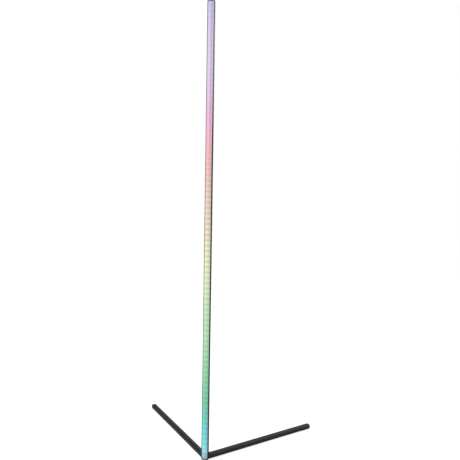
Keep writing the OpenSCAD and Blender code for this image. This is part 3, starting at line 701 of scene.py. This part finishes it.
def plain_mesh(piece, name):
    """Puts what an object's modifiers make, without slivers, in a plain object in its place."""
    evaluated = piece.evaluated_get(bpy.context.evaluated_depsgraph_get())
    mesh = bpy.data.meshes.new_from_object(evaluated)
    mesh.name = name
    bpy.data.objects.remove(piece)
    clean = bmesh.new()
    clean.from_mesh(mesh)
    bmesh.ops.dissolve_degenerate(clean, dist=NO_LENGTH, edges=clean.edges)
    clean.to_mesh(mesh)
    clean.free()
    return link(bpy.data.objects.new(name, mesh))


def grow(name, tree, source, **values):
    """Runs a tree on a mesh or curve with these values for its inputs."""
    seed = bpy.data.objects.new(name + "_seed", source)
    modifier = seed.modifiers.new(tree.name, "NODES")
    modifier.node_group = tree
    for socket in tree.interface.items_tree:
        if socket.name in values:
            modifier[socket.identifier] = values[socket.name]
    return plain_mesh(link(seed), name)


def stand_in(piece, *nodes, slot=None):
    """Lets a piece take the place of CAD nodes: it rides where they ride, and they are hidden."""
    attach(piece, "button" if nodes[0] in ("push_button", "switch_plunger") else "lamp")
    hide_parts(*nodes)


# %% [markdown]
# ## The opal bar
# The diffuser is one extrusion: a flat face and two skirts with a snap bead each, the same section
# all the way up. A solidified plane would give it square corners. Here a tree rounds the corners of
# a drawn section, fills it, extrudes it to the pole's height and closes the lower end with a
# flipped copy.

# %% The opal bar
FACE_THICKNESS = 0.0013
SKIRT_THICKNESS = 0.0009
BEAD_HEIGHT = 0.0003
BEAD_WIDTH = 0.0008
BEAD_FROM_END = 0.0009
MOULD_ROUND = 0.00025
CORNER_POINTS = 3                   # on each rounded corner of the section
WELD = 0.00001                      # joins the two ends' points to the sides


def bar_section():
    """The section's corners, right half from the middle of the face and then its mirror image."""
    edge = face_high.x - BEAD_HEIGHT
    inner = edge - SKIRT_THICKNESS
    bead_mid = face_high.y - BEAD_FROM_END
    bead_front, bead_back = bead_mid - BEAD_WIDTH / 2, bead_mid + BEAD_WIDTH / 2
    right_half = [
        (edge, face_low.y), (edge, bead_front), (face_high.x, bead_mid), (edge, bead_back),
        (edge, face_high.y), (inner, face_high.y), (inner, face_low.y + FACE_THICKNESS),
    ]
    return right_half + [(-x, y) for x, y in reversed(right_half)]


def section_curve(corners):
    curve = bpy.data.curves.new("section", "CURVE")
    curve.dimensions = "3D"
    spline = curve.splines.new("POLY")
    spline.points.add(len(corners) - 1)
    for point, (x, y) in zip(spline.points, corners):
        point.co = (x, y, 0, 1)
    spline.use_cyclic_u = True
    return curve


def extrusion_tree():
    tree, given, result = new_tree("extrusion", Rounding="Float", Foot="Float", Height="Float",
                                   Finish="Material")
    rounded = out(tree, "GeometryNodeFilletCurve", given["Geometry"], mode="POLY",
                  named={"Count": CORNER_POINTS, "Radius": given["Rounding"], "Limit Radius": True})
    flat = out(tree, "GeometryNodeFillCurve", rounded, mode="TRIANGLES")
    up_there = out(tree, "GeometryNodeExtrudeMesh", flat, mode="FACES", named={
        "Offset": (0, 0, 1), "Offset Scale": given["Height"], "Individual": False})
    lower_end = out(tree, "GeometryNodeFlipFaces", flat)
    closed = out(tree, "GeometryNodeMergeByDistance", join(tree, up_there, lower_end),
                 named={"Distance": WELD})
    placed = moved(tree, closed, Translation=upward(tree, given["Foot"]))
    real = out(tree, "GeometryNodeRealizeInstances", crisp(tree, placed))
    finished = out(tree, "GeometryNodeSetMaterial", real, None, given["Finish"])
    tree.links.new(finished, result)
    return tree


opal_bar = grow("opal_bar", extrusion_tree(), section_curve(bar_section()), Rounding=MOULD_ROUND,
                Foot=face_low.z, Height=face_high.z - face_low.z, Finish=opal_finish)
stand_in(opal_bar, "diffuser")
print(f"{opal_bar.name}: {len(opal_bar.data.polygons)} faces")

# %% [markdown]
# ## The light packages
# The strip carries a package every sixtieth of a metre: a white square body with a round window,
# and two soldered feet on each side. They sit behind the opal face and show only as its bands, but
# a model that is opened should have them. One package is built in the tree, by cutting a round
# recess from a block and laying a lens in it, and is then set on the points of a line.

# %% The light packages
LENS_SHARE = 0.7                    # width of the round window, in widths of the package
LENS_FIT = 0.96                     # width of the lens, in widths of the window
LENS_SINK = 0.2                     # how far its middle lies behind the recess's floor, in recess depths
RECESS = 0.0003
DISC_SIDES = 20
FOOT_SIZE = (0.0009, 0.0003, 0.0007)
FOOT_SPREAD = (0.0056, 0.003)


def lens_finish():
    """The window glows in the programme's colour at its own height."""
    material, tree, shader = new_finish("package_lens", (0.9, 0.85, 0.5), 0.2)
    colour = rainbow(tree, object_xyz(tree)[2])
    tree.links.new(colour, shader.inputs["Emission Color"])
    tree.links.new(colour, shader.inputs["Base Color"])
    shader.inputs["Emission Strength"].default_value = 1.0
    vary_roughness(tree, shader, grain(tree, 0.0004), 0.14, 0.3)
    return material


def mark(tree, mesh, name):
    """Marks all faces of a mesh, so that a later node can find them."""
    return out(tree, "GeometryNodeStoreNamedAttribute", mesh, None, name, True,
               data_type="BOOLEAN", domain="FACE")


def marked(tree, name):
    return out(tree, "GeometryNodeInputNamedAttribute", name, data_type="BOOLEAN")


def block(tree, size, place=(0, 0, 0)):
    return moved(tree, out(tree, "GeometryNodeMeshCube", size), Translation=place)


def disc(tree, radius, thickness, place):
    """A flat cylinder whose axis lies along Y."""
    named = {"Vertices": DISC_SIDES, "Radius": radius, "Depth": thickness}
    upright = out(tree, "GeometryNodeMeshCylinder", named=named)
    return moved(tree, upright, Translation=place, Rotation=(math.pi / 2, 0, 0))


def package_tree(side, depth):
    """Packages at an even pitch up a line; side and depth are one package's own sizes."""
    tree, given, result = new_tree("light_packages", Count="Int", Start="Vector", Pitch="Float",
                                   Body="Material", Lens="Material", Feet="Material")
    radius = LENS_SHARE * side / 2
    body = block(tree, (side, depth, side), (0, -depth / 2, 0))
    recess = disc(tree, radius, 2 * RECESS, (0, -depth, 0))
    cut = out(tree, "GeometryNodeMeshBoolean", body, recess, operation="DIFFERENCE")
    lens = disc(tree, LENS_FIT * radius, RECESS, (0, LENS_SINK * RECESS - depth + RECESS, 0))
    corners = out(tree, "GeometryNodeMeshGrid", *FOOT_SPREAD, 2, 2)
    standing = moved(tree, corners, Rotation=(math.pi / 2, 0, 0), Translation=(0, -FOOT_SIZE[1] / 2, 0))
    feet = out(tree, "GeometryNodeInstanceOnPoints", standing, None, block(tree, FOOT_SIZE))
    feet = out(tree, "GeometryNodeRealizeInstances", feet)
    unit = join(tree, cut, mark(tree, lens, "lens"), mark(tree, feet, "feet"))
    line = out(tree, "GeometryNodeMeshLine", named={
        "Count": given["Count"], "Start Location": given["Start"],
        "Offset": upward(tree, given["Pitch"])})
    packages = out(tree, "GeometryNodeInstanceOnPoints", line, None, unit)
    real = out(tree, "GeometryNodeRealizeInstances", packages)
    dressed = out(tree, "GeometryNodeSetMaterial", real, None, given["Body"])
    for label in ("lens", "feet"):
        dressed = out(tree, "GeometryNodeSetMaterial", dressed, marked(tree, label), given[label.title()])
    tree.links.new(dressed, result)
    return tree


packages_low, packages_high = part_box("led_packages")
package_count = round((packages_high.z - packages_low.z - PACKAGE_SIDE) / LED_PITCH) + 1
package_white = moulding("package_white", (0.78, 0.77, 0.70), (0.88, 0.87, 0.82), 0.35, depth=SMOOTH)
light_packages = grow(
    "light_packages", package_tree(PACKAGE_SIDE, packages_high.y - packages_low.y), new_mesh("none", []),
    Count=package_count, Start=(0, packages_high.y, first_package_z), Pitch=LED_PITCH,
    Body=package_white, Lens=lens_finish(), Feet=solder_finish)
stand_in(light_packages, "led_packages")
print(f"{package_count} packages, {len(light_packages.data.polygons)} faces")

# %% [markdown]
# ## The screws
# Eight screws hold the lamp together: two with domed heads on the back of the pole, four with
# countersunk heads under the legs and two small ones in the cap. They differ in their sizes only, so
# one tree makes them all. A head is a cylinder whose radius follows its height, which gives a cone
# or a dome. The shank's radius follows a wave that turns round as it climbs, which gives a thread.
# The crosses are cut by a boolean, and each screw is turned by a random angle from a fixed seed,
# because no two real ones stop alike. Where they sit is read from the CAD solids.

# %% Where the screws sit
def merged(node):
    """A CAD node's mesh with its doubled points merged."""
    mesh = bmesh.new()
    mesh.from_mesh(solids[node].data)
    bmesh.ops.remove_doubles(mesh, verts=mesh.verts, dist=NO_LENGTH)
    return mesh


def islands(node):
    """Lowest and highest corner of each separate solid in a CAD node."""
    mesh = merged(node)
    waiting, boxes = set(mesh.verts), []
    while waiting:
        front = [waiting.pop()]
        found = []
        while front:
            vertex = front.pop()
            found.append(vertex.co.copy())
            near = {edge.other_vert(vertex) for edge in vertex.link_edges} & waiting
            waiting -= near
            front += near
        boxes.append([Vector([pick(point[i] for point in found) for i in range(3)])
                      for pick in (min, max)])
    mesh.free()
    return sorted(boxes, key=lambda box: tuple(box[0]))


screw_boxes = {node: islands(node) for node in ("pole_screws", "leg_screws", "top_cap_screws")}
print({node: len(boxes) for node, boxes in screw_boxes.items()})

# %% The screws
THREAD_DEPTH = 0.12                 # of a thread, in shank radii
THREAD_STEPS = 5                    # rings of points for each turn of a thread
SCREW_SIDES = 20
HEAD_RINGS = 6                      # of points up a head
DOME_TOP = 0.6                      # width of a dome's flat top, in widths of the head
DOME_POWER = 5.0                    # how late a dome begins to close
RECESS_DRAFT = 2.0                  # the cutting box stands out of the head by its own depth
CROSS_DEPTH = 0.97                  # second arm's depth in the first's; equal floors would clash


def turned(tree, sides, rings, radius, height, foot, factor):
    """A cylinder on z = foot whose radius is scaled by a field; factor takes height share and angle."""
    named = {"Vertices": sides, "Side Segments": rings, "Radius": radius, "Depth": height}
    rod = out(tree, "GeometryNodeMeshCylinder", named=named)
    x, y, z = put(tree, "ShaderNodeSeparateXYZ", out(tree, "GeometryNodeInputPosition")).outputs
    share = maths(tree, "ADD", maths(tree, "DIVIDE", z, height), 0.5)
    scale = factor(share, maths(tree, "ARCTAN2", y, x))
    place = out(tree, "ShaderNodeCombineXYZ", maths(tree, "MULTIPLY", x, scale),
                maths(tree, "MULTIPLY", y, scale),
                maths(tree, "MULTIPLY_ADD", share, height, foot))
    return out(tree, "GeometryNodeSetPosition", rod, None, place)


def screw_tree():
    sizes = dict(Foot="Float", HeadRadius="Float", HeadHeight="Float", Low="Float", High="Float",
                 Power="Float", ShankRadius="Float", ShankLength="Float", ThreadPitch="Float",
                 Arm="Vector", Turn="Vector", Seed="Int", Finish="Material")
    tree, given, result = new_tree("screws", **sizes)
    spread = maths(tree, "SUBTRACT", given["High"], given["Low"])
    top = maths(tree, "ADD", given["Foot"], given["HeadHeight"])

    def head_shape(share, angle):
        late = maths(tree, "POWER", share, given["Power"])
        return maths(tree, "MULTIPLY_ADD", late, spread, given["Low"])

    def thread_shape(share, angle):
        climbed = maths(tree, "MULTIPLY", share, given["ShankLength"])
        turns = maths(tree, "DIVIDE", climbed, given["ThreadPitch"])
        wave = maths(tree, "COSINE", maths(tree, "MULTIPLY_ADD", turns, 2 * math.pi, angle))
        return maths(tree, "MULTIPLY_ADD", wave, THREAD_DEPTH / 2, 1 - THREAD_DEPTH / 2)

    head = turned(tree, SCREW_SIDES, HEAD_RINGS, given["HeadRadius"], given["HeadHeight"],
                  given["Foot"], head_shape)
    long_arm = out(tree, "GeometryNodeMeshCube", given["Arm"])
    cross_arm = moved(tree, long_arm, Rotation=(0, 0, math.pi / 2), Scale=(1, 1, CROSS_DEPTH))
    for arm in (long_arm, cross_arm):
        blade = moved(tree, arm, Translation=upward(tree, top))
        head = out(tree, "GeometryNodeMeshBoolean", head, blade, operation="DIFFERENCE")
    threads = maths(tree, "DIVIDE", given["ShankLength"], given["ThreadPitch"])
    rings = maths(tree, "MULTIPLY", threads, THREAD_STEPS)
    shank_foot = maths(tree, "SUBTRACT", given["Foot"], given["ShankLength"])
    shank = turned(tree, SCREW_SIDES, rings, given["ShankRadius"], given["ShankLength"],
                   shank_foot, thread_shape)
    points = out(tree, "GeometryNodeMeshToPoints", given["Geometry"])
    placed = out(tree, "GeometryNodeInstanceOnPoints", points, None, crisp(tree, join(tree, head, shank)),
                 named={"Rotation": given["Turn"]})
    quarter = put(tree, "FunctionNodeRandomValue", data_type="FLOAT",
                  named={2: 0.0, 3: math.pi / 2, "Seed": given["Seed"]}).outputs[1]
    spun = out(tree, "GeometryNodeRotateInstances", placed, None, upward(tree, quarter))
    real = out(tree, "GeometryNodeRealizeInstances", spun)
    finished = out(tree, "GeometryNodeSetMaterial", real, None, given["Finish"])
    tree.links.new(finished, result)
    return tree


screws = screw_tree()


def set_screws(node, axis, turn, head_height, sunk, seed, shank, pitch, arm):
    """Screws in place of a CAD node; axis says along which of x, y, z they lie and which way is out."""
    along, outwards = axis
    across = (along + 1) % 3
    low, high = screw_boxes[node][0]
    radius = (high[across] - low[across]) / 2
    whole = high[along] - low[along]
    places = []
    for low, high in screw_boxes[node]:
        place = (low + high) / 2
        place[along] = high[along] if outwards > 0 else low[along]
        place[along] -= 0 if sunk else outwards * head_height
        places.append(place)
    cone = dict(Low=shank / radius, High=1.0, Power=1.0)
    dome = dict(Low=1.0, High=DOME_TOP, Power=DOME_POWER)
    piece = grow(node + "_threaded", screws, new_mesh(node, places), HeadRadius=radius,
                 HeadHeight=head_height, Foot=-head_height if sunk else 0.0, ShankRadius=shank,
                 ShankLength=whole - head_height, ThreadPitch=pitch, Turn=turn, Seed=seed,
                 Arm=(2 * arm[0], arm[1], RECESS_DRAFT * arm[2]), Finish=screw_finish,
                 **(cone if sunk else dome))
    stand_in(piece, node)


# the shank's radius, the thread's pitch, and the length, width and depth of a recess's arm
base_screw = dict(shank=0.0015, pitch=0.0005, arm=(0.0016, 0.0007, 0.0009))
cap_screw = dict(shank=0.00098, pitch=0.0004, arm=(0.0009, 0.0004, 0.0006))
set_screws("pole_screws", (1, 1), (-math.pi / 2, 0, 0), 0.0016, False, 3, **base_screw)
set_screws("leg_screws", (2, -1), (math.pi, 0, 0), 0.0013, True, 5, **base_screw)
set_screws("top_cap_screws", (2, 1), (0, 0, 0), 0.00042, True, 8, **cap_screw)
print(f"{sum(map(len, screw_boxes.values()))} screws in place")

# %% [markdown]
# ## Softer edges
# The CAD solids of the cap, the end plugs, the casting, the inlet and the button have knife-sharp
# edges. Real mouldings and castings have a small radius there, which catches a thin line of light.
# Each solid's mesh is copied and its doubled points are merged, because a CAD mesh is loose
# triangles. Its flat faces are joined again, and a Bevel modifier then rounds the sharp edges.

# %% Softer edges
BEVEL_ANGLE = math.radians(32)      # edges sharper than this are rounded
FLAT_ANGLE = math.radians(0.5)      # triangles that meet flatter than this become one face


def soften(node, radius, finish):
    """A copy of a CAD solid with rounded edges, in its place."""
    mesh = merged(node)
    bmesh.ops.dissolve_limit(mesh, angle_limit=FLAT_ANGLE, verts=mesh.verts, edges=mesh.edges)
    copy = bpy.data.meshes.new(node + "_copy")
    mesh.to_mesh(copy)
    mesh.free()
    copy.materials.clear()
    copy.materials.append(finish)
    copy.shade_smooth()
    seed = link(bpy.data.objects.new(node + "_seed", copy))
    rounding = seed.modifiers.new("rounding", "BEVEL")
    rounding.width = radius
    rounding.segments = 2
    rounding.limit_method = "ANGLE"
    rounding.angle_limit = BEVEL_ANGLE
    rounding.harden_normals = True
    rounding.use_clamp_overlap = True
    piece = plain_mesh(seed, node + "_soft")
    stand_in(piece, node)
    return piece


softened = [
    soften("top_cap", 0.00025, black_moulding),
    soften("left_end_plug", 0.0002, black_moulding),
    soften("right_end_plug", 0.0002, black_moulding),
    soften("corner_base", 0.0003, casting_coat),
    soften("inlet_socket", 0.0002, inlet_moulding),
    soften("push_button", 0.0002, button_moulding),
]
print("softened:", ", ".join(f"{piece.name} {len(piece.data.polygons)}" for piece in softened))

# %% [markdown]
# ## Materials on the solids
# Where a solid's shape is right, it stays and only its finish changes.

# %% Dress the solids
wear = {
    "pole_channel": pole_finish, "left_leg": left_coat, "right_leg": right_coat,
    "corner_pad": pad_rubber, "left_pad": pad_rubber, "right_pad": pad_rubber,
    "inlet_contacts": brass, "supply_wires": red_insulation, "strip_wires": white_insulation,
    "controller_board": mask_finish, "controller_chips": chip_moulding, "board_foam": foam_tape,
    "strip_tape": foam_tape, "led_strip": film_finish, "switch_body": chip_moulding,
    "switch_plunger": plunger_moulding,
}
for node, finish in wear.items():
    solids[node].material_slots[0].material = finish
print(f"{len(wear)} solids dressed, {len({finish.name for finish in wear.values()})} finishes")
